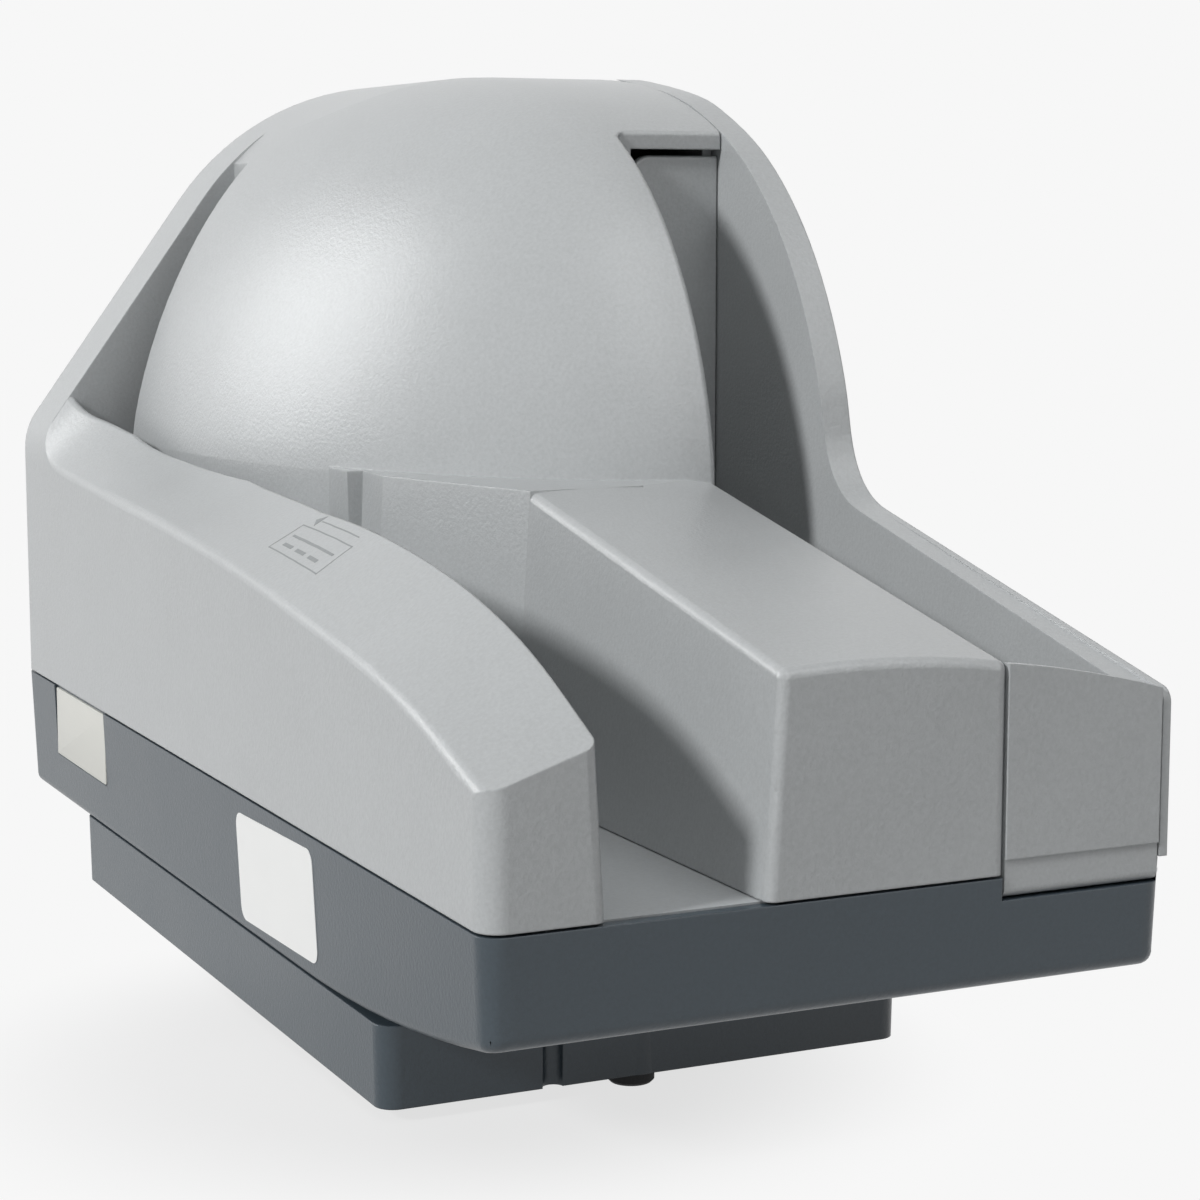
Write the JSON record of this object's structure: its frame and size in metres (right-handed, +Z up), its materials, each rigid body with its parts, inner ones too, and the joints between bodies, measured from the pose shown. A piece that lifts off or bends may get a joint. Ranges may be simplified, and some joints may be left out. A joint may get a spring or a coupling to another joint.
{
  "type": "cheque scanner",
  "caption": "Desktop cheque scanner: cheques stand in a front pocket, run round a domed core and stack in an exit pocket; hinged one-piece cover, fold-down exit flap.",
  "frame": {"origin": "under the middle of the machine, on the surface it stands on", "axes": "+Z up, +Y to the back along the machine's length, +X to the right as the teller sees it"},
  "size_m": [0.15, 0.332, 0.2175],
  "materials": {
    "black": "plain black moulding",
    "board": "solder resist",
    "dark": "fine grained dark grey moulding",
    "glass": "clear",
    "light": "fine grained light grey moulding",
    "rubber": "matt rubber",
    "steel": "plain steel",
    "white": "natural acetal"
  },
  "bodies": {
    "base": {"base_housing": "dark", "pedestal": "dark", "feet": "rubber", "track_deck": "light", "exit_panel": "light", "right_cover": "light", "flap_hinge_pin": "steel", "hinge_brackets": "steel", "hinge_pins": "steel", "roller_bearings": "steel", "feed_motor": "steel", "drive_belt": "rubber", "pivot_pins": "steel", "arm_springs": "steel", "left_camera": "black", "left_camera_window": "glass", "right_camera": "black", "right_camera_window": "glass", "magnetic_head": "steel", "cartridge_cradle": "black", "ink_cartridge": "black", "main_board": "board", "board_screws": "steel", "board_components": "black", "usb_port": "steel", "power_inlet": "black"},
    "cover": {"top_cover": "light"},
    "flap": {"exit_flap": "light"},
    "motor_rotor": {"motor_shaft": "steel", "motor_pulley": "white"},
    "feed_roller": {"feed_shaft": "steel", "feed_hub": "black", "feed_tyre": "rubber", "feed_pulley": "white"},
    "exit_drive_roller": {"exit_drive_shaft": "steel", "exit_drive_hub": "black", "exit_drive_tyre": "rubber", "exit_drive_pulley": "white"},
    "turn_drive_roller": {"turn_drive_shaft": "steel", "turn_drive_hub": "black", "turn_drive_tyre": "rubber", "turn_drive_pulley": "white"},
    "exit_pinch_lever": {"exit_pinch_arm": "black"},
    "exit_pinch_wheel": {"exit_pinch_roller": "white"},
    "turn_pinch_lever": {"turn_pinch_arm": "black"},
    "turn_pinch_wheel": {"turn_pinch_roller": "white"},
    "separator": {"separator_arm": "black", "separator_pad": "rubber"}
  },
  "joints": [
    {"name": "cover_hinge", "type": "hinge", "parent": "base", "child": "cover", "pos_m": [0, 0.1628, 0.064], "axis": [-1, 0, 0], "range_deg": [0, 75]},
    {"name": "flap_hinge", "type": "hinge", "parent": "base", "child": "flap", "pos_m": [0.0545, -0.1636, 0.0501], "axis": [1, 0, 0], "range_deg": [0, 90]},
    {"name": "motor_spin", "type": "hinge", "parent": "base", "child": "motor_rotor", "pos_m": [0.009, -0.082, 0.053], "axis": [0, 0, 1], "continuous": true},
    {"name": "feed_spin", "type": "hinge", "parent": "base", "child": "feed_roller", "pos_m": [-0.0225, 0.02, 0.053], "axis": [0, 0, 1], "continuous": true},
    {"name": "exit_drive_spin", "type": "hinge", "parent": "base", "child": "exit_drive_roller", "pos_m": [0.0286, 0.037, 0.053], "axis": [0, 0, 1], "continuous": true},
    {"name": "turn_drive_spin", "type": "hinge", "parent": "base", "child": "turn_drive_roller", "pos_m": [0.0286, 0.096, 0.053], "axis": [0, 0, 1], "continuous": true},
    {"name": "exit_pinch_swing", "type": "hinge", "parent": "base", "child": "exit_pinch_lever", "pos_m": [0.057, 0.051, 0.056], "axis": [0, 0, 1], "range_deg": [0, 4], "stiffness_Nm_per_rad": 0.5},
    {"name": "exit_pinch_spin", "type": "hinge", "parent": "exit_pinch_lever", "child": "exit_pinch_wheel", "pos_m": [0.04885, 0.037, 0.073], "axis": [0, 0, 1], "continuous": true},
    {"name": "turn_pinch_swing", "type": "hinge", "parent": "base", "child": "turn_pinch_lever", "pos_m": [0.057, 0.115, 0.056], "axis": [0, 0, 1], "range_deg": [0, 3], "stiffness_Nm_per_rad": 0.5},
    {"name": "turn_pinch_spin", "type": "hinge", "parent": "turn_pinch_lever", "child": "turn_pinch_wheel", "pos_m": [0.04885, 0.096, 0.073], "axis": [0, 0, 1], "continuous": true},
    {"name": "separator_swing", "type": "hinge", "parent": "base", "child": "separator", "pos_m": [-0.0465, 0.03, 0.073], "axis": [0, 0, -1], "range_deg": [0, 4], "stiffness_Nm_per_rad": 0.5}
  ],
  "couplings": [
    {"joint": "feed_spin", "follows": "motor_spin", "ratio": 0.625},
    {"joint": "exit_drive_spin", "follows": "motor_spin", "ratio": 0.625},
    {"joint": "turn_drive_spin", "follows": "motor_spin", "ratio": 0.625},
    {"joint": "exit_pinch_spin", "follows": "motor_spin", "ratio": -0.93359},
    {"joint": "turn_pinch_spin", "follows": "motor_spin", "ratio": -0.93359}
  ]
}
